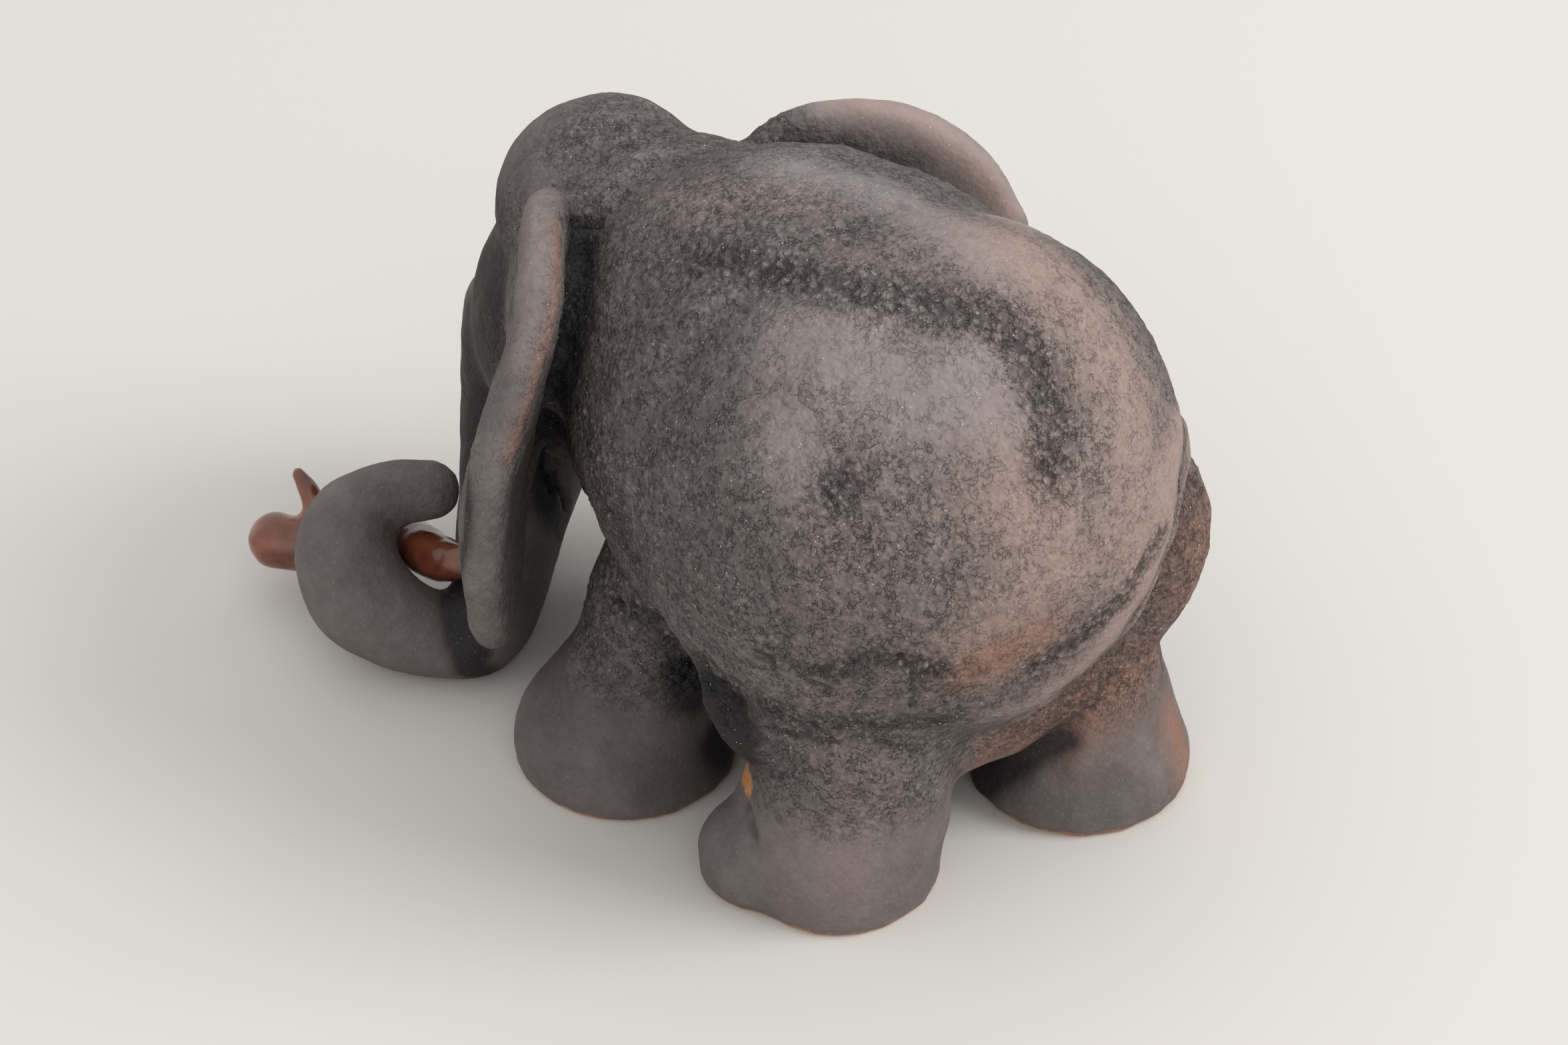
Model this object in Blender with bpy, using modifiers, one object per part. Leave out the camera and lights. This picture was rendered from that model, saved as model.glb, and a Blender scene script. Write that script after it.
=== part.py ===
"""A small fired-clay elephant with a glazed sprig in the curl of its trunk.

Metres, +Z up. The elephant faces -Y and its left side is +X. The four soles stand on z = 0.
"""

import math

import bmesh
import bpy
from mathutils import Euler, Matrix, Vector

# Barrel of the body
BODY_CENTRE = Vector((0.0005, 0.0066, 0.0295))
BODY_RADII = Vector((0.0204, 0.0182, 0.0195))
BODY_TURN = (0.0, 0.0, -7.5)
HAUNCH_CENTRE = Vector((0.0001, 0.0118, 0.0216))
HAUNCH_RADII = Vector((0.0207, 0.0079, 0.0157))
HAUNCH_TURN = (0.0, 0.0, -14.0)
BARREL_CENTRE = Vector((0.0, -0.0020, 0.0300))
BARREL_RADII = Vector((0.0192, 0.0175, 0.0182))
SHOULDER_CENTRE = Vector((0.0, -0.0074, 0.0322))
SHOULDER_RADII = Vector((0.0168, 0.0156, 0.0152))
CHEST_CENTRE = Vector((0.0, -0.0130, 0.0250))
CHEST_RADII = Vector((0.0135, 0.0115, 0.0115))

# Legs: height above the sole and radius of the column there. Each foot has the centre of its sole, the lean of its
# hip, and what the radii of the foot and of the column above it are multiplied by
LEG_PROFILE = (
    (-0.0040, 0.0074),
    (0.0004, 0.0088),
    (0.0030, 0.0085),
    (0.0065, 0.0074),
    (0.0105, 0.0066),
    (0.0150, 0.0072),
    (0.0230, 0.0060),
)
FOOT_TOP = 0.0040
FEET = {
    "rear_left": (Vector((0.0101, 0.0102, 0.0)), Vector((-0.0012, 0.0016, 0.0)), 0.90, 1.08),
    "front_left": (Vector((0.0138, -0.0101, 0.0)), Vector((-0.0048, 0.0042, 0.0)), 1.0, 0.94),
    "rear_right": (Vector((-0.0112, 0.0138, 0.0)), Vector((0.0010, -0.0020, 0.0)), 1.0, 1.0),
    "front_right": (Vector((-0.0130, -0.0090, 0.0)), Vector((0.0040, 0.0040, 0.0)), 1.0, 1.0),
}
TOE_CENTRE = Vector((0.0150, 0.0072, 0.0022))
TOE_RADII = Vector((0.0046, 0.0046, 0.0046))

# Head
CROWN_CENTRE = Vector((0.0, -0.0274, 0.0345))
CROWN_RADIUS = 0.0087
FACE_CENTRE = Vector((0.0, -0.0290, 0.0240))
FACE_RADII = Vector((0.0098, 0.0096, 0.0130))
NECK_CENTRE = Vector((0.0, -0.0200, 0.0300))
NECK_RADII = Vector((0.0130, 0.0120, 0.0130))

# Ears: thick discs swept back from the cheeks, bent in towards the top. A bend has its depth, the height of its
# middle and half the height that it takes, both as shares of the ear's half height
EAR_SWEEP = math.radians(41.0)
EAR_REACH = 0.0140
EAR_HALF_HEIGHT = 0.0185
EAR_THICKNESS = 0.0037
EAR_BOWL = 0.0004
EAR_FLARE = 0.0006
EAR_TWIST = math.radians(39.0)
EAR_EDGE = 5.0
LEFT_EAR_BOTTOM = Vector((0.0167, -0.0200, 0.0086))
LEFT_EAR_BEND = (0.0039, 0.05, 0.50)
RIGHT_EAR_BOTTOM = Vector((-0.0176, -0.0184, 0.0055))
RIGHT_EAR_BEND = (0.0030, 0.70, 0.70)

# Trunk: centre line and radius, from the brow to the curled tip
TRUNK = (
    ((0.0000, -0.0340, 0.0220), 0.0075),
    ((0.0010, -0.0360, 0.0140), 0.0062),
    ((0.0026, -0.0354, 0.0086), 0.0056),
    ((0.0068, -0.0324, 0.0050), 0.0044),
    ((0.0122, -0.0272, 0.0037), 0.0038),
    ((0.0162, -0.0243, 0.0031), 0.0035),
    ((0.0186, -0.0268, 0.0029), 0.0031),
    ((0.0210, -0.0298, 0.0040), 0.0040),
    ((0.0222, -0.0326, 0.0064), 0.0043),
    ((0.0214, -0.0348, 0.0092), 0.0040),
    ((0.0192, -0.0356, 0.0110), 0.0032),
    ((0.0162, -0.0344, 0.0118), 0.0027),
    ((0.0140, -0.0328, 0.0117), 0.0024),
)

# Sprig: it lies on the lower arm of the curl and passes in front of the bend
CLEARANCE = 0.0003
ARM_UP = Vector((-0.413, -0.475, 0.777))
BEND_FRONT = Vector((-0.616, -0.709, -0.342))
LOWER_ARM = 6
BEND = 8
STEM_RADIUS = 0.0020
ARM_RISE = 0.0005
REAR_OFFSET = Vector((-0.0009, 0.0023, 0.0010))
REAR_TAPER = 0.7
MIDDLE_SHIFT = Vector((-0.0021, -0.0014, 0.0005))
NECK_OFFSET = Vector((0.0018, -0.0028, 0.0002))
LOBE_OFFSET = Vector((0.0040, -0.0056, 0.0006))
LOBE_RADIUS = 0.0023

# Spike on the sprig: rise and lean of each stop from the sprig's neck, and radius there
SPIKE = (
    (0.0, 0.0, 0.00144),
    (0.0024, 0.0, 0.00126),
    (0.0040, 0.0006, 0.00099),
    (0.0056, 0.0018, 0.00072),
)

# Looks
CLAY_COLOUR = (0.105, 0.085, 0.078)
CLAY_ROUGHNESS = 0.85
GLAZE_COLOUR = (0.22, 0.045, 0.022)
GLAZE_ROUGHNESS = 0.2

# Mesh
BALL_SEGMENTS = 48
BALL_RINGS = 24
VOXEL = 0.0008
SPRIG_VOXEL = 0.0005
SMOOTH_FACTOR = 0.5
SMOOTH_ROUNDS = 3
TRIANGLES_WANTED = 9600
SPRIG_TRIANGLES_WANTED = 1300
GROUND_SIZE = 0.2

# From the middle of the four feet to the middle of the footprint, which is the origin
ORIGIN_SHIFT = Vector((0.00045, 0.01015, 0.0))


def clear_scene():
    for item in list(bpy.data.objects):
        bpy.data.objects.remove(item)


def make_material(name, colour, roughness):
    made = bpy.data.materials.new(name)
    made.use_nodes = True
    shader = made.node_tree.nodes["Principled BSDF"]
    shader.inputs["Base Color"].default_value = (*colour, 1.0)
    shader.inputs["Roughness"].default_value = roughness
    shader.inputs["Metallic"].default_value = 0.0
    return made


def add_unit_ball(bm, place):
    made = bmesh.ops.create_uvsphere(bm, u_segments=BALL_SEGMENTS, v_segments=BALL_RINGS, radius=1.0, matrix=place)
    return made["verts"]


def add_ball(bm, centre, radii, turn=(0.0, 0.0, 0.0)):
    """A stretched ball, turned by angles in degrees about X, Y and Z."""
    spin = Euler([math.radians(v) for v in turn]).to_matrix().to_4x4()
    add_unit_ball(bm, Matrix.Translation(centre) @ spin @ Matrix.Diagonal((*radii, 1.0)))


def add_round_ball(bm, centre, radius):
    add_ball(bm, centre, (radius, radius, radius))


def add_tube(bm, stops):
    """A closed tube through the stops, each a point and the tube's radius there."""
    curve = bpy.data.curves.new("tube", "CURVE")
    curve.dimensions = "3D"
    curve.bevel_depth = 1.0
    curve.bevel_resolution = 6
    curve.use_fill_caps = True
    curve.resolution_u = 8
    spline = curve.splines.new("NURBS")
    spline.points.add(len(stops) - 1)
    for point, (place, radius) in zip(spline.points, stops):
        point.co = (*place, 1.0)
        point.radius = radius
    spline.order_u = 3
    spline.use_endpoint_u = True
    holder = bpy.data.objects.new("tube", curve)
    bpy.context.scene.collection.objects.link(holder)
    graph = bpy.context.evaluated_depsgraph_get()
    mesh = bpy.data.meshes.new_from_object(holder.evaluated_get(graph))
    bm.from_mesh(mesh)
    bpy.data.objects.remove(holder)
    bpy.data.curves.remove(curve)
    bpy.data.meshes.remove(mesh)


def add_leg(bm, foot, lean, foot_size, column_size):
    """A short column from under the ground to inside the body, widest just above the sole."""
    top = LEG_PROFILE[-1][0]
    stops = []
    for height, radius in LEG_PROFILE:
        rise = max(0.0, height) / top
        size = foot_size if height < FOOT_TOP else column_size
        stops.append((foot + lean * rise + Vector((0.0, 0.0, height)), radius * size))
    add_tube(bm, stops)


def add_ear(bm, bottom, side, bend):
    """A thick disc whose face leans out towards its lower end and is hollow behind. side is 1 for left."""
    sweep = Vector((side * math.sin(EAR_SWEEP), math.cos(EAR_SWEEP), 0.0))
    out = Vector((side * math.cos(EAR_SWEEP), -math.sin(EAR_SWEEP), 0.0))
    fold_reach = math.hypot(EAR_HALF_HEIGHT * math.cos(EAR_TWIST), EAR_REACH * math.sin(EAR_TWIST))
    most_bend, bend_middle, bend_half = bend
    for point in add_unit_ball(bm, Matrix.Identity(4)):
        flat = math.hypot(point.co.x, point.co.y)
        across = point.co.z
        edge = (flat**EAR_EDGE + abs(across) ** EAR_EDGE) ** (1.0 / EAR_EDGE)
        along, up = point.co.x / edge, point.co.y / edge
        shell = across / edge * EAR_THICKNESS / 2.0
        bowl = EAR_BOWL * (1.0 - along * along - up * up)
        fold = (up * EAR_HALF_HEIGHT * math.cos(EAR_TWIST) - along * EAR_REACH * math.sin(EAR_TWIST)) / fold_reach
        part_way = max(-1.0, min(1.0, (fold - bend_middle) / bend_half))
        inward = most_bend * (1.0 + math.sin(math.pi / 2.0 * part_way)) / 2.0 + EAR_FLARE * min(0.0, fold)
        height = Vector((0.0, 0.0, (1.0 + up) * EAR_HALF_HEIGHT))
        point.co = bottom + sweep * along * EAR_REACH + out * (shell + bowl - inward) + height


def mesh_object(name, bm, collection):
    mesh = bpy.data.meshes.new(name)
    bm.to_mesh(mesh)
    bm.free()
    made = bpy.data.objects.new(name, mesh)
    collection.objects.link(made)
    return made


def join_shapes(made, voxel, triangles_wanted):
    """Makes the overlapping shapes of a mesh one skin, softens its creases and thins it."""
    remesh = made.modifiers.new("join", "REMESH")
    remesh.mode = "VOXEL"
    remesh.voxel_size = voxel
    smooth = made.modifiers.new("soften", "SMOOTH")
    smooth.factor = SMOOTH_FACTOR
    smooth.iterations = SMOOTH_ROUNDS
    graph = bpy.context.evaluated_depsgraph_get()
    joined = bpy.data.meshes.new_from_object(made.evaluated_get(graph))
    triangles = 2 * len(joined.polygons)
    bpy.data.meshes.remove(joined)
    thin = made.modifiers.new("thin", "DECIMATE")
    thin.ratio = min(1.0, triangles_wanted / triangles)


def build_elephant(collection, cutters):
    bm = bmesh.new()
    add_ball(bm, BODY_CENTRE, BODY_RADII, BODY_TURN)
    add_ball(bm, HAUNCH_CENTRE, HAUNCH_RADII, HAUNCH_TURN)
    add_ball(bm, BARREL_CENTRE, BARREL_RADII)
    add_ball(bm, SHOULDER_CENTRE, SHOULDER_RADII)
    add_ball(bm, CHEST_CENTRE, CHEST_RADII)
    add_ball(bm, NECK_CENTRE, NECK_RADII)
    add_ball(bm, FACE_CENTRE, FACE_RADII)
    add_round_ball(bm, CROWN_CENTRE, CROWN_RADIUS)
    for foot, lean, foot_size, column_size in FEET.values():
        add_leg(bm, foot, lean, foot_size, column_size)
    add_ball(bm, TOE_CENTRE, TOE_RADII)
    add_ear(bm, LEFT_EAR_BOTTOM, 1.0, LEFT_EAR_BEND)
    add_ear(bm, RIGHT_EAR_BOTTOM, -1.0, RIGHT_EAR_BEND)
    add_tube(bm, TRUNK)
    tip, tip_radius = TRUNK[-1]
    add_round_ball(bm, tip, tip_radius)
    bmesh.ops.recalc_face_normals(bm, faces=bm.faces)
    elephant = mesh_object("elephant", bm, collection)
    join_shapes(elephant, VOXEL, TRIANGLES_WANTED)
    ground = bmesh.new()
    sunk = Matrix.Translation((0.0, 0.0, -GROUND_SIZE / 2.0))
    bmesh.ops.create_cube(ground, size=GROUND_SIZE, matrix=sunk)
    below = mesh_object("below_the_ground", ground, cutters)
    below.hide_render = True
    below.display_type = "WIRE"
    soles = elephant.modifiers.new("soles", "BOOLEAN")
    soles.operation = "DIFFERENCE"
    soles.solver = "EXACT"
    soles.object = below
    elephant.data.materials.append(make_material("fired_clay", CLAY_COLOUR, CLAY_ROUGHNESS))
    elephant.data.shade_smooth()
    return elephant


def on_trunk(stop, direction, reach):
    """The point beside a stop of the trunk where a stem of that radius clears it."""
    place, radius = TRUNK[stop]
    return Vector(place) + direction * (radius + reach + CLEARANCE)


def build_sprig(collection):
    bm = bmesh.new()
    on_arm = on_trunk(LOWER_ARM, ARM_UP, STEM_RADIUS + ARM_RISE)
    in_front = on_trunk(BEND, BEND_FRONT, STEM_RADIUS)
    rear = on_arm + REAR_OFFSET
    middle = (on_arm + in_front) / 2.0 + MIDDLE_SHIFT
    neck = in_front + NECK_OFFSET
    lobe = in_front + LOBE_OFFSET
    stem = (
        (rear, STEM_RADIUS * REAR_TAPER),
        (on_arm, STEM_RADIUS),
        (middle, STEM_RADIUS),
        (in_front, STEM_RADIUS),
        (neck, STEM_RADIUS),
        (lobe, LOBE_RADIUS),
    )
    add_tube(bm, stem)
    add_round_ball(bm, lobe, LOBE_RADIUS)
    add_round_ball(bm, rear, STEM_RADIUS * REAR_TAPER)
    outward = (lobe - neck).normalized()
    spike = [(neck + ARM_UP * rise + outward * lean, radius) for rise, lean, radius in SPIKE]
    add_tube(bm, spike)
    add_round_ball(bm, *spike[-1])
    bmesh.ops.recalc_face_normals(bm, faces=bm.faces)
    sprig = mesh_object("trunk_sprig", bm, collection)
    join_shapes(sprig, SPRIG_VOXEL, SPRIG_TRIANGLES_WANTED)
    sprig.data.materials.append(make_material("red_glaze", GLAZE_COLOUR, GLAZE_ROUGHNESS))
    sprig.data.shade_smooth()
    return sprig


def main():
    clear_scene()
    collection = bpy.data.collections.new("clay_elephant")
    cutters = bpy.data.collections.new("cutters")
    bpy.context.scene.collection.children.link(collection)
    bpy.context.scene.collection.children.link(cutters)
    cutters.hide_render = True
    for made in (build_elephant(collection, cutters), build_sprig(collection)):
        made.location = ORIGIN_SHIFT


main()
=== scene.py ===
"""The look of a small fired-clay elephant that holds a glazed sprig in the curl of its trunk."""

import math

import bmesh
import bpy
import numpy as np
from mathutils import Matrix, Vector, noise
from mathutils.bvhtree import BVHTree


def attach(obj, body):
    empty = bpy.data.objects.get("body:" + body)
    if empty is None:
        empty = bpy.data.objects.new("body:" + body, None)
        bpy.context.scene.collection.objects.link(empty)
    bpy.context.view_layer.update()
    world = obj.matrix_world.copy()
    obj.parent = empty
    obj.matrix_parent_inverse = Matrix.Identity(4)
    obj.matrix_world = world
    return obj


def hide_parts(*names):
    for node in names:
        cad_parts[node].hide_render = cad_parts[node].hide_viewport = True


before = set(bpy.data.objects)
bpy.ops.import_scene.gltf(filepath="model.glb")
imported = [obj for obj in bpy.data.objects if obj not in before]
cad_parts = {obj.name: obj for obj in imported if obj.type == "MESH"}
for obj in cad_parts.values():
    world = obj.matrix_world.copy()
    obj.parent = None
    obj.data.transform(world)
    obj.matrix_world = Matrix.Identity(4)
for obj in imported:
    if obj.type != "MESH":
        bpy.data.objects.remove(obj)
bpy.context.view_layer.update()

MM = 0.001

# Camera: the photo's frame in pixels, and a pinhole camera in metres
PHOTO_WIDTH = 2352
PHOTO_HEIGHT = 1568
SENSOR_MM = 36.0
LENS_MM = 96.7
FEET_MIDDLE = Vector((0.00045, 0.01015, 0.0))
CAMERA_PLACE = FEET_MIDDLE + Vector((0.16092, 0.17783, 0.21514))
CAMERA_AZIMUTH = math.radians(139.0)
CAMERA_ELEVATION = math.radians(39.0)
BACKWARD = Vector(
    (
        math.sin(CAMERA_AZIMUTH) * math.cos(CAMERA_ELEVATION),
        -math.cos(CAMERA_AZIMUTH) * math.cos(CAMERA_ELEVATION),
        math.sin(CAMERA_ELEVATION),
    )
)
RIGHTWARD = Vector((math.cos(CAMERA_AZIMUTH), math.sin(CAMERA_AZIMUTH), 0.0))
UPWARD = BACKWARD.cross(RIGHTWARD)

# Skin: the size of the remesh and the rounds of softening before any detail
CLAY_VOXEL = 0.00046
CLAY_SOFTENING = 8
SPRIG_VOXEL = 0.0002
SPRIG_SOFTENING = 6
SPRIG_RIPPLE_SIZE = 1.6 * MM
SPRIG_RIPPLE_HEIGHT = 0.12 * MM

# The dome of the body and the band of the haunch below it, whose meeting is the lip of the rump
DOME_CENTRE = FEET_MIDDLE + Vector((0.0005, 0.0066, 0.0295))
DOME_RADII = Vector((0.0204, 0.0182, 0.0195))
DOME_TURN = math.radians(-7.5)
HAUNCH_CENTRE = FEET_MIDDLE + Vector((0.0001, 0.0118, 0.0216))
HAUNCH_RADII = Vector((0.0207, 0.0079, 0.0157))
HAUNCH_TURN = math.radians(-14.0)
CREASE_SLACK = 0.0001
CREASE_REACH = 0.0012

# The lip by pixels of the photo with its strength, from the outline down and to the left, and its section
LIP_LINE = (
    (1787, 625, 1.0),
    (1781, 665, 1.0),
    (1772, 706, 1.0),
    (1767, 753, 1.0),
    (1758, 799, 1.0),
    (1740, 847, 1.0),
    (1718, 890, 1.0),
    (1695, 929, 1.0),
    (1669, 969, 1.0),
    (1640, 1000, 1.0),
    (1612, 1025, 0.9),
    (1570, 1058, 0.8),
    (1528, 1082, 0.6),
    (1484, 1096, 0.3),
    (1429, 1100, 0.0),
)
PIXEL = 0.000045
LIP_PLACE = 0.0008
LIP_WIDTH = 0.0007
LIP_RISE = 0.00045
RECESS_WALL = (-0.0003, 0.0002)
RECESS_FLOOR = (-0.0028, -0.0008)
RECESS_DEPTH = 0.0011
LIP_FACING = (0.0, 0.2)
LIP_BACK = (8.0 * MM, 12.0 * MM)
HIDDEN_WALL = 0.0006
HIDDEN_SIDE = (0.004, 0.008)
HIDDEN_BACK = (0.020, 0.028)

# Places on the clay by pixels of the photo, with radii: crumbly bands, then patches by their colour or
# finish. The rubbed patches are worn clay with a painted sheen, the tan and warm patches are painted light on
# the lit sides, and the patch over the front leg is painted shade
FAR_EAR_RIM = ((1240, 150), (1320, 160), (1400, 200), (1460, 250), (1520, 330))
ROUGH_ARC = (
    (1058, 388),
    (1176, 412),
    (1294, 435),
    (1399, 453),
    (1488, 470),
    (1552, 541),
    (1582, 635),
    (1570, 706),
)
LEFT_FLANK_EDGE = ((929, 906), (976, 929), (1023, 988), (1064, 1035), (1117, 1064))
ROUGH_BANDS = (
    (ROUGH_ARC, 0.0020),
    (((1735, 800), (1682, 896), (1623, 960), (1552, 1000)), 0.0011),
    (((1258, 729), (1258, 735)), 0.0020),
    (((1129, 1060), (1200, 1085), (1270, 1090), (1341, 1090), (1411, 1080)), 0.0016),
    (((1160, 990), (1240, 1010), (1330, 985), (1410, 1010)), 0.0014),
    (LEFT_FLANK_EDGE, 0.0018),
    (((880, 640), (900, 740), (940, 830)), 0.0020),
)
# Pale clay, partly worn smooth and partly a painted sheen where the light catches the dome and the far ear's
# rim
RUBBED_AND_SHEEN_PATCHES = (
    (((1205, 500), (1300, 560), (1400, 590)), 0.0050),
    (((1450, 550), (1475, 620)), 0.0034),
    (((1180, 640), (1200, 700)), 0.0036),
    (((1180, 250), (1300, 280), (1400, 330), (1480, 380)), 0.0036),
    (FAR_EAR_RIM, 0.0030),
)
# Painted light: a lit tan on the dome, the top of the back, a rear leg and both ears' rims, over some tan of
# the clay itself
LIT_TAN_PATCHES = (
    (((1500, 500), (1600, 640), (1600, 800)), 0.0090),
    (((1300, 420), (1250, 600), (1300, 850)), 0.0080),
    (((1230, 1000), (1290, 1200), (1250, 1330)), 0.0050),
    (FAR_EAR_RIM, 0.0030),
    (((1000, 300), (1100, 300), (1200, 300)), 0.0040),
    (((805, 290), (800, 400), (775, 540)), 0.0012),
)
# Painted light: a lit warm brown on the right of the dome and haunch and on the far ear's rim, over some
# warmth of the clay itself
LIT_WARM_PATCHES = (
    (((1540, 380), (1640, 480), (1695, 590), (1710, 720), (1690, 820)), 0.0055),
    (((1529, 753), (1600, 850), (1500, 950)), 0.0055),
    (((1260, 150), (1330, 158), (1410, 200), (1470, 250), (1520, 330)), 0.0014),
)
BROWN_PATCHES = (
    (((1820, 760), (1800, 850), (1770, 930), (1700, 1020), (1600, 1090), (1500, 1130)), 0.0034),
    (((1760, 1080), (1790, 1180), (1740, 1240)), 0.0024),
    (((836, 340), (834, 440), (820, 520), (796, 600), (766, 680)), 0.0007),
    (((1460, 1010), (1560, 960)), 0.0026),
    (((481, 958), (553, 1009)), 0.0009),
    (((690, 1035), (735, 1030)), 0.0010),
)
BARE_PATCHES = ((((1112, 1140), (1122, 1175)), 0.0015),)
# Painted shade: a faint darkening over the front left leg
FRONT_LEG_SHADE_PATCHES = ((((850, 1090), (980, 1150)), 0.0075),)
PLAIN_PATCHES = (
    (((805, 270), (800, 400), (775, 540), (735, 680), (725, 850), (722, 960)), 0.0030),
    (FAR_EAR_RIM, 0.0040),
    (((700, 120), (800, 110), (900, 140)), 0.0050),
)

# Creases by pixels of the photo, with their width and depth
CREASES = (
    (LEFT_FLANK_EDGE, 0.0008, 0.0003),
    (((1160, 1098), (1230, 1112), (1300, 1110), (1370, 1125)), 0.0006, 0.0003),
    (((1120, 1215), (1128, 1250)), 0.0009, 0.0003),
    (((842, 334), (900, 338)), 0.0004, 0.0007),
    (((848, 350), (851, 440), (846, 520), (828, 590), (812, 650)), 0.0008, 0.0013),
    (((790, 640), (815, 660)), 0.0004, 0.0009),
    (((800, 668), (838, 690)), 0.0003, 0.0010),
    (((816, 690), (828, 735)), 0.0004, 0.0010),
    (((838, 712), (852, 762)), 0.0004, 0.0010),
    (((1178, 985), (1200, 1020), (1240, 1040)), 0.0004, 0.0003),
    (((1350, 985), (1372, 1020), (1368, 1060)), 0.0004, 0.0003),
    (((1045, 1010), (1076, 1047), (1100, 1094)), 0.0022, 0.0010),
)

# The top of the left rear leg, which is softened into the dome
SOFTENED = ((((1129, 1075), (1200, 1100), (1270, 1105), (1341, 1110), (1411, 1115)), 0.0022),)
SOFTENING_ROUNDS = 16

# Painted shade, near black: beside the near ear's rim and behind it, on the trunk's root and in the gaps over
# the legs
SHADE_PATCHES = (
    (((742, 330), (740, 367), (738, 430), (722, 523), (708, 597), (698, 689)), 0.0030),
    (((722, 370), (712, 440), (705, 560), (698, 680)), 0.0036),
    (((691, 758), (687, 840), (691, 930), (709, 1011)), 0.0012),
    (((1470, 1165), (1500, 1150), (1560, 1128), (1600, 1110)), 0.0013),
    (((1076, 1060), (1090, 1100), (1085, 1130)), 0.0016),
    (((748, 380), (745, 430), (728, 520)), 0.0014),
    (((680, 900), (688, 960), (715, 985)), 0.0015),
    (((1040, 1020), (1062, 1070), (1085, 1115)), 0.0026),
    (((706, 600), (699, 703), (694, 840), (692, 960)), 0.0009),
    (((864, 345), (864, 447), (856, 529), (841, 611)), 0.0018),
    (((823, 635), (806, 706), (823, 753), (850, 800)), 0.0018),
    (((1025, 1014), (1064, 1053), (1094, 1094), (1108, 1130)), 0.0022),
    (((1470, 1180), (1510, 1150), (1580, 1112)), 0.0018),
    (((696, 900), (690, 960), (702, 1005), (735, 1012)), 0.0013),
)

FRONT_LEG_SHADE_SHARE = 0.25
SHADE_SPREAD = 1.45

# Lumps left by the fingers and crumbs of grog, and where the clay is gritty
LUMP_SIZE = 0.0065
LUMP_HEIGHT = 0.00028
DENT_SIZE = 0.0024
DENT_HEIGHT = 0.00012
CRUMB_SIZE = 0.0010
CRUMB_HEIGHT = 0.00018
ROUGH_CRUMB_HEIGHT = 0.00036
GRIT_BACK = (-0.022, -0.017)
GRIT_RISE = (0.008, 0.013)
EAR_OUT = (12.0 * MM, 18.0 * MM)
EAR_FRONT = (0.0, 4.0 * MM)
SOLE_FADE = 0.0012
CREASE_WANDER_SIZE = 0.9 * MM
PATCHY_SIZE = 5.0 * MM
HOLLOW_DEPTH = 0.05 * MM

# Colours, as the shaders take them
GREY_CLAY = (0.122, 0.103, 0.098)
DARK_CLAY = (0.040, 0.034, 0.033)
# Near black, for painted shade
SHADE_BLACK = (0.009, 0.008, 0.009)
PALE_CLAY = (0.320, 0.282, 0.272)
# The next two are painted light: a lit tan and a lit warm brown
LIT_TAN_CLAY = (0.245, 0.198, 0.184)
LIT_WARM_CLAY = (0.340, 0.240, 0.208)
BROWN_CLAY = (0.270, 0.132, 0.088)
BARE_CLAY = (0.420, 0.180, 0.075)
# Specks of mica painted as glints
MICA_GLINT = (0.700, 0.680, 0.660)
GLAZE = (0.100, 0.024, 0.012)
GLAZE_THIN = (0.220, 0.065, 0.032)
FLOOR_COLOUR = (0.630, 0.606, 0.570)

# Grain of the clay in cells or waves a metre, the height of the bump and how far the crumbs' edges are bent
CLOUD_SCALE = 160.0
MOTTLE_SCALE = 800.0
RIDGE_SCALE = 1700.0
GRIT_SCALE = 2500.0
CRUMB_SCALE = 1300.0
BEND_SCALE = 2200.0
BEND_REACH = 0.0005
MICA_SCALE = 3000.0
BUMP_HEIGHT = 0.00016

# Lights: place, size and power, and the even light all round
LAMP_TARGET = Vector((0.0, 0.0, 0.02))
KEY_LAMP = (Vector((-0.36, 0.44, 0.50)), 0.35, 3.1)
FILL_LAMP = (Vector((0.35, 0.45, 0.40)), 0.60, 0.4)
WORLD_STRENGTH = 0.92
FLOOR_HALF_WIDTH = 2.0


def add_object(name, mesh):
    made = bpy.data.objects.new(name, mesh)
    bpy.context.scene.collection.objects.link(made)
    return made


def fine_skin(node, name, voxel, softening):
    """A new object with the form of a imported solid, as an even, fine skin without the solid's facets."""
    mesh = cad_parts[node].data.copy()
    shape = bmesh.new()
    shape.from_mesh(mesh)
    bmesh.ops.remove_doubles(shape, verts=shape.verts, dist=1e-7)
    shape.to_mesh(mesh)
    shape.free()
    rough = add_object(name + "_rough", mesh)
    remesh = rough.modifiers.new("skin", "REMESH")
    remesh.mode = "VOXEL"
    remesh.voxel_size = voxel
    soften = rough.modifiers.new("soften", "SMOOTH")
    soften.factor = 0.5
    soften.iterations = softening
    graph = bpy.context.evaluated_depsgraph_get()
    skin = bpy.data.meshes.new_from_object(rough.evaluated_get(graph))
    bpy.data.objects.remove(rough)
    skin.materials.clear()
    for layer in list(skin.uv_layers):
        skin.uv_layers.remove(layer)
    made = add_object(name, skin)
    skin.shade_smooth()
    return made


def points_of(mesh):
    flat = np.empty(len(mesh.vertices) * 3)
    mesh.vertices.foreach_get("co", flat)
    return flat.reshape(-1, 3)


def normals_of(mesh):
    flat = np.empty(len(mesh.vertices) * 3)
    mesh.vertex_normals.foreach_get("vector", flat)
    return flat.reshape(-1, 3)


def move_points(mesh, points):
    mesh.vertices.foreach_set("co", points.ravel())
    mesh.update()


def store(mesh, name, values):
    layer = mesh.attributes.new(name, "FLOAT", "POINT")
    layer.data.foreach_set("value", np.ascontiguousarray(values, np.float32))


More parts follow.
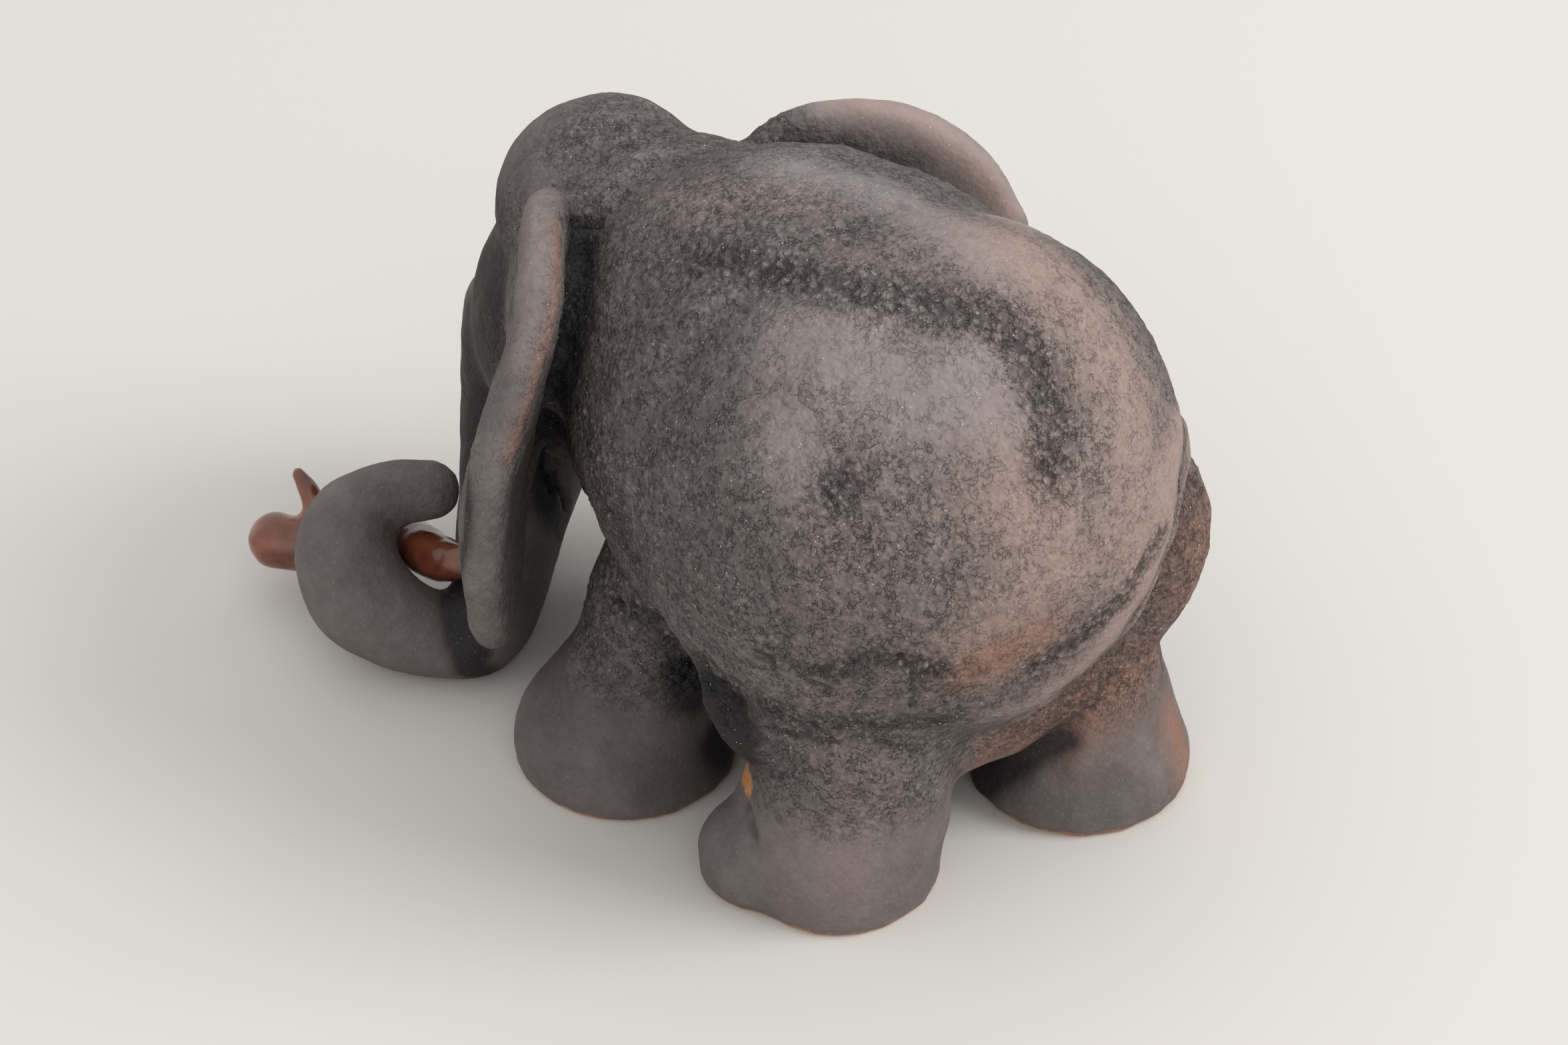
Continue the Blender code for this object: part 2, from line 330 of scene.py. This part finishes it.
def averager(mesh):
    """A function that replaces each point's value by the mean of its neighbours'."""
    ends = np.empty(len(mesh.edges) * 2, np.int64)
    mesh.edges.foreach_get("vertices", ends)
    ends = ends.reshape(-1, 2)
    here = np.concatenate([ends[:, 0], ends[:, 1]])
    there = np.concatenate([ends[:, 1], ends[:, 0]])
    count = np.maximum(np.bincount(here, minlength=len(mesh.vertices)), 1)

    def average(values):
        columns = values.reshape(len(values), -1).T
        sums = [np.bincount(here, weights=column[there], minlength=len(count)) / count for column in columns]
        return np.array(sums).T.reshape(values.shape)

    return average


def noise_at(points, size, seed):
    """Smooth noise from -1 to 1 with features of that size."""
    shift = Vector((seed * 7.31, seed * 3.17, seed * 5.53))
    return np.array([noise.noise(Vector(point) / size + shift) for point in points])


def crumbs_at(points, size, seed):
    """Uneven crumbs from 0 in the cracks between them to 1 on top."""
    shift = Vector((seed * 2.71, seed * 9.13, seed * 4.37))
    pushes = [noise_at(points, size * 0.8, seed + part) for part in (1.0, 2.0, 3.0)]
    bent = points + size * 0.45 * np.stack(pushes, 1)
    nearest = np.array([noise.voronoi(Vector(point) / size + shift)[0][:2] for point in bent])
    return np.clip((nearest[:, 1] - nearest[:, 0]) * 1.6, 0.0, 1.0)


def ellipsoid_distance(points, centre, radii, turn):
    """Roughly how far each point is outside an ellipsoid turned about the upright axis."""
    cosine, sine = math.cos(turn), math.sin(turn)
    across, along, rise = (points - np.array(centre)).T
    local = np.stack([across * cosine + along * sine, along * cosine - across * sine, rise], 1)
    scaled = local / np.array(radii)
    reach = np.linalg.norm(scaled, axis=1)
    slope = np.linalg.norm(scaled / np.array(radii), axis=1)
    return reach * (reach - 1.0) / np.maximum(slope, 1e-6)


def camera_ray(pixel):
    """The direction from the camera through a pixel of the photo."""
    across = (pixel[0] - PHOTO_WIDTH / 2.0) * SENSOR_MM / PHOTO_WIDTH
    rise = (PHOTO_HEIGHT / 2.0 - pixel[1]) * SENSOR_MM / PHOTO_WIDTH
    return (RIGHTWARD * across + UPWARD * rise - BACKWARD * LENS_MM).normalized()


def laid_on(tree, pixels):
    """The pixels' places on the surface that the camera sees there, a step of a few pixels apart."""
    found = []
    for start, end in zip(pixels, pixels[1:]):
        steps = max(2, int(math.dist(start, end) / 8.0))
        for step in range(steps + 1):
            part = step / steps
            pixel = (start[0] + (end[0] - start[0]) * part, start[1] + (end[1] - start[1]) * part)
            hit = tree.ray_cast(CAMERA_PLACE, camera_ray(pixel))[0]
            if hit is not None:
                found.append(hit)
    return np.array(found)


def near(points, stroke, radius):
    """1 on the stroke, falling to 0 about two radii from it."""
    closest = np.full(len(points), 1.0)
    for place in stroke:
        closest = np.minimum(closest, ((points - place) ** 2).sum(axis=1))
    return np.exp(-closest / (2.0 * (radius / 1.6) ** 2))


def patches(points, tree, strokes):
    """1 on any of the strokes of pixels as laid on the surface, falling to 0 beside them."""
    found = np.zeros(len(points))
    for pixels, radius in strokes:
        stroke = laid_on(tree, pixels)
        if len(stroke):
            found = np.maximum(found, near(points, stroke, radius))
    return found


def ramp(values, low, high):
    """0 below low, 1 above high and a smooth rise between."""
    part = np.clip((values - low) / (high - low), 0.0, 1.0)
    return part * part * (3.0 - 2.0 * part)


def beside_crease(points, from_dome, from_haunch):
    """How far each point is from where the dome meets the haunch, negative on the haunch."""
    meeting = (np.abs(from_haunch - from_dome) < CREASE_SLACK) & (np.abs(from_dome) < CREASE_REACH)
    closest = np.full(len(points), 1.0)
    for place in points[meeting]:
        closest = np.minimum(closest, ((points - place) ** 2).sum(axis=1))
    return np.sqrt(closest) * np.sign(from_haunch - from_dome)


def photo_pixels(points):
    """Where the camera sees each point, in pixels of the photo."""
    seen = points - np.array(CAMERA_PLACE)
    scale = LENS_MM * PHOTO_WIDTH / SENSOR_MM / -(seen @ np.array(BACKWARD))
    across = PHOTO_WIDTH / 2.0 + seen @ np.array(RIGHTWARD) * scale
    down = PHOTO_HEIGHT / 2.0 - seen @ np.array(UPWARD) * scale
    return np.stack([across, down], 1)


def beside_line(pixels, line):
    """How far each pixel is from the line, positive on its left hand side, and the line's strength there."""
    closest = np.full(len(pixels), np.inf)
    side = np.zeros(len(pixels))
    strength = np.zeros(len(pixels))
    for start, end in zip(line, line[1:]):
        way = np.array(end[:2], float) - start[:2]
        offset = pixels - start[:2]
        part = np.clip(offset @ way / (way @ way), 0.0, 1.0)
        apart = np.linalg.norm(offset - part[:, None] * way, axis=1)
        nearer = apart < closest
        closest = np.where(nearer, apart, closest)
        side = np.where(nearer, np.sign(way[0] * offset[:, 1] - way[1] * offset[:, 0]), side)
        strength = np.where(nearer, start[2] + (end[2] - start[2]) * part, strength)
    return closest * side, strength


def carve_lip(points, normals):
    """The rump's dome overhangs the haunch: its edge is rolled out and the band below it sinks in."""
    from_dome = ellipsoid_distance(points, DOME_CENTRE, DOME_RADII, DOME_TURN)
    from_haunch = ellipsoid_distance(points, HAUNCH_CENTRE, HAUNCH_RADII, HAUNCH_TURN)
    hidden = beside_crease(points, from_dome, from_haunch) - HIDDEN_WALL
    seen, strength = beside_line(photo_pixels(points), LIP_LINE)
    toward = np.array(CAMERA_PLACE) - points
    facing = (normals * toward).sum(axis=1) / np.linalg.norm(toward, axis=1)
    weight = ramp(facing, *LIP_FACING)
    seen_share = weight * strength * ramp(points[:, 1], *LIP_BACK)
    far_side = ramp(-points[:, 0], *HIDDEN_SIDE) * ramp(points[:, 1], *HIDDEN_BACK)
    edge = np.zeros(len(points))
    recess = np.zeros(len(points))
    for beside, share in ((seen * PIXEL, seen_share), (hidden, (1.0 - weight) * far_side)):
        edge += share * np.exp(-(((beside - LIP_PLACE) / LIP_WIDTH) ** 2))
        recess += share * ramp(beside, *RECESS_FLOOR) * (1.0 - ramp(beside, *RECESS_WALL))
    offset = edge * LIP_RISE - recess * RECESS_DEPTH
    return points + normals * offset[:, None], edge, recess


def sculpt_clay(elephant):
    """Carves the lip and creases, raises lumps and crumbs, and stores where each colour and finish goes,
    painted shade and painted light among them.
    """
    mesh = elephant.data
    average = averager(mesh)
    points = points_of(mesh)
    shape = bmesh.new()
    shape.from_mesh(mesh)
    tree = BVHTree.FromBMesh(shape)
    shape.free()
    rough = patches(points, tree, ROUGH_BANDS)
    rubbed_and_sheen = patches(points, tree, RUBBED_AND_SHEEN_PATCHES)
    lit_warm = patches(points, tree, LIT_WARM_PATCHES)
    brown = patches(points, tree, BROWN_PATCHES)
    lit_tan = patches(points, tree, LIT_TAN_PATCHES)
    bare = patches(points, tree, BARE_PATCHES)
    painted_shade = patches(points, tree, SHADE_PATCHES) + FRONT_LEG_SHADE_SHARE * patches(points, tree, FRONT_LEG_SHADE_PATCHES)
    plain = patches(points, tree, PLAIN_PATCHES)
    softened = np.clip(2.0 * patches(points, tree, SOFTENED), 0.0, 1.0)
    strokes = [(laid_on(tree, pixels), width, depth) for pixels, width, depth in CREASES]
    ground = np.clip(points[:, 2] / SOLE_FADE, 0.0, 1.0)
    for _ in range(SOFTENING_ROUNDS):
        points = points + (average(points) - points) * softened[:, None]
    move_points(mesh, points)
    points, edge, recess = carve_lip(points, normals_of(mesh))
    move_points(mesh, points)
    wander = 1.0 + 0.6 * noise_at(points, CREASE_WANDER_SIZE, 5.0)
    for stroke, width, depth in strokes:
        if len(stroke):
            points = points - normals_of(mesh) * (near(points, stroke, width) * depth * wander)[:, None]
    move_points(mesh, points)
    ear = ramp(np.abs(points[:, 0]), *EAR_OUT) * ramp(-points[:, 1], *EAR_FRONT)
    gritty = ramp(points[:, 1], *GRIT_BACK) * ramp(points[:, 2], *GRIT_RISE) * (1.0 - 0.5 * ear)
    gritty = gritty * (1.0 - 0.9 * plain)
    smooth_share = np.clip(0.9 * rubbed_and_sheen + 0.75 * lit_warm + edge, 0.0, 1.0)
    lumps = noise_at(points, LUMP_SIZE, 1.0) * LUMP_HEIGHT + noise_at(points, DENT_SIZE, 2.0) * DENT_HEIGHT
    crumbs = crumbs_at(points, CRUMB_SIZE, 3.0) - 0.6
    patchy = np.clip(0.55 + 0.9 * noise_at(points, PATCHY_SIZE, 4.0), 0.15, 1.0)
    crumb_height = CRUMB_HEIGHT * patchy * (1.0 - smooth_share) * (0.3 + 0.7 * gritty)
    crumb_height = crumb_height + ROUGH_CRUMB_HEIGHT * rough
    offset = (lumps + crumbs * crumb_height) * ground
    points = points + normals_of(mesh) * offset[:, None]
    points[:, 2] = np.maximum(points[:, 2], 0.0)
    move_points(mesh, points)
    smooth = points
    for _ in range(2):
        smooth = average(smooth)
    hollow = ((smooth - points) * normals_of(mesh)).sum(axis=1)
    gritty = (0.1 + 0.9 * gritty) * (1.0 - 0.85 * smooth_share) + 0.6 * rough + recess
    store(mesh, "rough", rough)
    store(mesh, "gritty", np.clip(gritty, 0.0, 1.0))
    # Painted shade: the near-black patches, and a little more in the recess under the lip
    store(mesh, "painted_shade", np.clip(SHADE_SPREAD * painted_shade + 0.3 * recess, 0.0, 1.0))
    # The rubbed clay is partly a painted sheen
    store(mesh, "rubbed_and_sheen", rubbed_and_sheen)
    # Painted light in tan
    store(mesh, "lit_tan", lit_tan)
    # Painted light in warm brown, with the lip's rolled edge painted as a highlight
    store(mesh, "lit_warm", np.clip(lit_warm + 0.9 * edge, 0.0, 1.0))
    store(mesh, "brown", np.clip(brown + 0.6 * recess, 0.0, 1.0) * (1.0 - np.clip(edge, 0.0, 1.0)))
    store(mesh, "bare", bare)
    store(mesh, "hollow", np.clip(hollow / HOLLOW_DEPTH, -1.0, 1.0))


def make_node(tree, kind, inputs=None, **settings):
    """A shader node with its settings, each input set to a value or linked from another node."""
    made = tree.nodes.new("ShaderNode" + kind)
    for name, value in settings.items():
        setattr(made, name, value)
    for key, value in (inputs or {}).items():
        if isinstance(value, bpy.types.NodeSocket):
            tree.links.new(value, made.inputs[key])
        else:
            made.inputs[key].default_value = value
    return made


def spread(tree, value, low, high):
    """The value's range from low to high as 0 to 1."""
    inputs = {"Value": value, "From Min": low, "From Max": high}
    return make_node(tree, "MapRange", inputs, clamp=True).outputs["Result"]


def calculate(tree, operation, first, second):
    return make_node(tree, "Math", {0: first, 1: second}, operation=operation).outputs[0]


def mix_colours(tree, factor, first, second):
    made = make_node(tree, "Mix", data_type="RGBA")
    for socket, value in zip((made.inputs[0], made.inputs[6], made.inputs[7]), (factor, first, second)):
        if isinstance(value, bpy.types.NodeSocket):
            tree.links.new(value, socket)
        elif isinstance(value, tuple):
            socket.default_value = (*value, 1.0)
        else:
            socket.default_value = value
    return made.outputs[2]


def noise_node(tree, place, scale, detail, roughness=0.5):
    inputs = {"Vector": place, "Scale": scale, "Detail": detail, "Roughness": roughness}
    return make_node(tree, "TexNoise", inputs).outputs["Fac"]


def painted(tree, name):
    return make_node(tree, "Attribute", attribute_name=name).outputs["Fac"]


def cells_node(tree, place, scale, channel=0):
    """Uneven cells: how far each place is from its cell's middle, and a random tone for each cell."""
    cells = make_node(tree, "TexVoronoi", {"Vector": place, "Scale": scale})
    tone = make_node(tree, "SeparateColor", {0: cells.outputs["Color"]}).outputs[channel]
    return cells.outputs["Distance"], tone


def share_of(tree, value, share):
    return calculate(tree, "MULTIPLY", value, share)


def clay_material():
    """Coarse dark fired clay: grains, crumbs, cracks, specks of mica painted as glints, painted shade and
    light, and bare orange soles.
    """
    made = bpy.data.materials.new("fired_clay_look")
    made.use_nodes = True
    tree = made.node_tree
    shader = tree.nodes["Principled BSDF"]
    place = make_node(tree, "TexCoord").outputs["Object"]
    height = make_node(tree, "SeparateXYZ", {0: place}).outputs["Z"]
    rough, rubbed_and_sheen, lit_warm = painted(tree, "rough"), painted(tree, "rubbed_and_sheen"), painted(tree, "lit_warm")
    gritty, painted_shade, brown = painted(tree, "gritty"), painted(tree, "painted_shade"), painted(tree, "brown")
    bare, hollow, lit_tan = painted(tree, "bare"), painted(tree, "hollow"), painted(tree, "lit_tan")
    clouds = noise_node(tree, place, CLOUD_SCALE, 3.0, 0.6)
    mottle = noise_node(tree, place, MOTTLE_SCALE, 3.0, 0.7)
    ridges = noise_node(tree, place, RIDGE_SCALE, 2.0, 0.6)
    off_ridge = calculate(tree, "SUBTRACT", ridges, 0.5)
    ridge = make_node(tree, "Math", {0: off_ridge}, operation="ABSOLUTE").outputs[0]
    broken = spread(tree, mottle, 0.56, 0.46)
    cracks = calculate(tree, "MULTIPLY", spread(tree, ridge, 0.035, 0.008), broken)
    cracks = calculate(tree, "MULTIPLY", cracks, gritty)
    grits, grit_tone = cells_node(tree, place, GRIT_SCALE)
    push = make_node(tree, "TexNoise", {"Vector": place, "Scale": BEND_SCALE, "Detail": 1.0}).outputs["Color"]
    bend = {0: push, 1: (BEND_REACH, BEND_REACH, BEND_REACH), 2: place}
    bent = make_node(tree, "VectorMath", bend, operation="MULTIPLY_ADD").outputs[0]
    crumbs = make_node(tree, "TexVoronoi", {"Vector": bent, "Scale": CRUMB_SCALE}).outputs["Distance"]
    crumbled = calculate(tree, "ADD", rough, share_of(tree, gritty, 0.40))
    gritted = calculate(tree, "ADD", share_of(tree, gritty, 0.85), 0.15)

    # Patches of colour, with painted light on the lit sides and a painted sheen on the rubbed clay
    colour = mix_colours(tree, share_of(tree, spread(tree, clouds, 0.45, 0.75), 0.30), GREY_CLAY, PALE_CLAY)
    # Painted light in tan
    colour = mix_colours(tree, share_of(tree, lit_tan, 0.70), colour, LIT_TAN_CLAY)
    # Pale rubbed clay, partly a painted sheen
    colour = mix_colours(tree, share_of(tree, rubbed_and_sheen, 0.45), colour, PALE_CLAY)
    # Painted light in warm brown
    colour = mix_colours(tree, share_of(tree, lit_warm, 0.80), colour, LIT_WARM_CLAY)
    colour = mix_colours(tree, share_of(tree, brown, 0.75), colour, BROWN_CLAY)
    colour = mix_colours(tree, share_of(tree, rough, 0.05), colour, DARK_CLAY)

    # Grains, the gaps between them, crumbs and cracks
    grains = (
        (spread(tree, mottle, 0.58, 0.38), 0.30, gritted, DARK_CLAY),
        (spread(tree, grit_tone, 0.60, 1.0), 0.20, gritted, PALE_CLAY),
        (spread(tree, grit_tone, 0.40, 0.0), 0.25, gritted, DARK_CLAY),
        # Painted shade in the gaps between the grains and the crumbs, and painted light on the crumbs' tops
        (spread(tree, grits, 0.36, 0.62), 0.25, gritted, DARK_CLAY),
        (spread(tree, crumbs, 0.46, 0.68), 0.50, crumbled, DARK_CLAY),
        (spread(tree, crumbs, 0.36, 0.14), 0.45, crumbled, PALE_CLAY),
    )
    for grain, share, where, tint in grains:
        factor = calculate(tree, "MULTIPLY", share_of(tree, grain, share), where)
        colour = mix_colours(tree, factor, colour, tint)
    colour = mix_colours(tree, share_of(tree, cracks, 0.75), colour, DARK_CLAY)
    # Painted shade in the hollows of the surface, and a little painted light on its raised places
    colour = mix_colours(tree, share_of(tree, spread(tree, hollow, 0.2, 1.0), 0.60), colour, DARK_CLAY)
    colour = mix_colours(tree, share_of(tree, spread(tree, hollow, -0.2, -1.0), 0.10), colour, PALE_CLAY)

    # Painted shade, the bare soles and specks of mica painted as glints
    colour = mix_colours(tree, share_of(tree, painted_shade, 0.92), colour, SHADE_BLACK)
    uneven = share_of(tree, calculate(tree, "SUBTRACT", mottle, 0.5), 0.0012)
    sole = spread(tree, calculate(tree, "ADD", height, uneven), 0.00045, 0.00025)
    ragged = spread(tree, calculate(tree, "ADD", bare, share_of(tree, mottle, 0.8)), 0.85, 1.10)
    colour = mix_colours(tree, calculate(tree, "MAXIMUM", sole, ragged), colour, BARE_CLAY)
    mica, chosen = cells_node(tree, place, MICA_SCALE, 1)
    speck = calculate(tree, "MULTIPLY", spread(tree, mica, 0.17, 0.08), spread(tree, chosen, 0.80, 0.86))
    speck = calculate(tree, "MULTIPLY", speck, calculate(tree, "MAXIMUM", gritted, rubbed_and_sheen))
    colour = mix_colours(tree, speck, colour, MICA_GLINT)
    tree.links.new(colour, shader.inputs["Base Color"])

    dull = spread(tree, calculate(tree, "ADD", share_of(tree, rubbed_and_sheen, -0.5), mottle), -0.2, 0.6)
    dull = calculate(tree, "SUBTRACT", dull, share_of(tree, painted_shade, 0.5))
    sheen = make_node(tree, "MapRange", {"Value": dull, "To Min": 0.50, "To Max": 0.90}).outputs["Result"]
    tree.links.new(sheen, shader.inputs["Roughness"])
    shader.inputs["Specular IOR Level"].default_value = 0.3

    # Relief of the grains, the cracks and the crumbs
    mound = share_of(tree, spread(tree, grits, 0.65, 0.1), 0.6)
    fine = calculate(tree, "ADD", mound, share_of(tree, mottle, 1.6))
    fine = calculate(tree, "MULTIPLY", fine, gritted)
    fine = calculate(tree, "SUBTRACT", fine, cracks)
    lumps = calculate(tree, "MULTIPLY", share_of(tree, spread(tree, crumbs, 0.66, 0.1), 3.0), crumbled)
    fine = calculate(tree, "ADD", fine, lumps)
    bump = make_node(tree, "Bump", {"Height": fine, "Strength": 1.0, "Distance": BUMP_HEIGHT})
    tree.links.new(bump.outputs["Normal"], shader.inputs["Normal"])
    return made


def glaze_material():
    """Thick glossy glaze, thinner and lighter here and there."""
    made = bpy.data.materials.new("red_glaze_look")
    made.use_nodes = True
    tree = made.node_tree
    shader = tree.nodes["Principled BSDF"]
    place = make_node(tree, "TexCoord").outputs["Object"]
    clouds = noise_node(tree, place, 420.0, 4.0, 0.55)
    colour = mix_colours(tree, spread(tree, clouds, 0.35, 0.70), GLAZE, GLAZE_THIN)
    tree.links.new(colour, shader.inputs["Base Color"])
    ripple = noise_node(tree, place, 700.0, 2.0)
    bump = make_node(tree, "Bump", {"Height": ripple, "Strength": 0.3, "Distance": 0.0001})
    tree.links.new(bump.outputs["Normal"], shader.inputs["Normal"])
    shader.inputs["Roughness"].default_value = 0.22
    shader.inputs["Coat Weight"].default_value = 0.35
    shader.inputs["Coat Roughness"].default_value = 0.06
    return made


def build_elephant():
    elephant = fine_skin("elephant", "clay_elephant", CLAY_VOXEL, CLAY_SOFTENING)
    sculpt_clay(elephant)
    elephant.data.materials.append(clay_material())
    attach(elephant, "root")
    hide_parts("elephant")


def build_sprig():
    sprig = fine_skin("trunk_sprig", "glazed_sprig", SPRIG_VOXEL, SPRIG_SOFTENING)
    mesh = sprig.data
    points = points_of(mesh)
    offset = noise_at(points, SPRIG_RIPPLE_SIZE, 8.0) * SPRIG_RIPPLE_HEIGHT
    points = points + normals_of(mesh) * offset[:, None]
    move_points(mesh, points)
    mesh.materials.append(glaze_material())
    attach(sprig, "root")
    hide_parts("trunk_sprig")


def build_floor():
    shape = bmesh.new()
    bmesh.ops.create_grid(shape, x_segments=1, y_segments=1, size=FLOOR_HALF_WIDTH)
    mesh = bpy.data.meshes.new("floor")
    shape.to_mesh(mesh)
    shape.free()
    floor = add_object("floor", mesh)
    made = bpy.data.materials.new("pale_floor")
    made.use_nodes = True
    shader = made.node_tree.nodes["Principled BSDF"]
    shader.inputs["Base Color"].default_value = (*FLOOR_COLOUR, 1.0)
    shader.inputs["Roughness"].default_value = 0.9
    mesh.materials.append(made)


def add_lamp(name, place, size, power):
    """A square soft lamp that faces the elephant."""
    light = bpy.data.lights.new(name, "AREA")
    light.size = size
    light.energy = power
    lamp = add_object(name, light)
    lamp.location = place
    lamp.rotation_euler = (LAMP_TARGET - place).to_track_quat("-Z", "Y").to_euler()


def light_scene():
    add_lamp("key", *KEY_LAMP)
    add_lamp("fill", *FILL_LAMP)
    world = bpy.data.worlds.new("studio")
    bpy.context.scene.world = world
    world.use_nodes = True
    background = world.node_tree.nodes["Background"]
    background.inputs["Color"].default_value = (1.0, 1.0, 1.0, 1.0)
    background.inputs["Strength"].default_value = WORLD_STRENGTH


def place_camera():
    data = bpy.data.cameras.new("camera")
    data.sensor_width = SENSOR_MM
    data.lens = LENS_MM
    data.clip_start = 0.01
    camera = add_object("camera", data)
    camera.location = CAMERA_PLACE
    camera.rotation_euler = BACKWARD.to_track_quat("Z", "Y").to_euler()
    bpy.context.scene.camera = camera
    bpy.context.scene.view_settings.view_transform = "Standard"


place_camera()
build_elephant()
build_sprig()
build_floor()
light_scene()
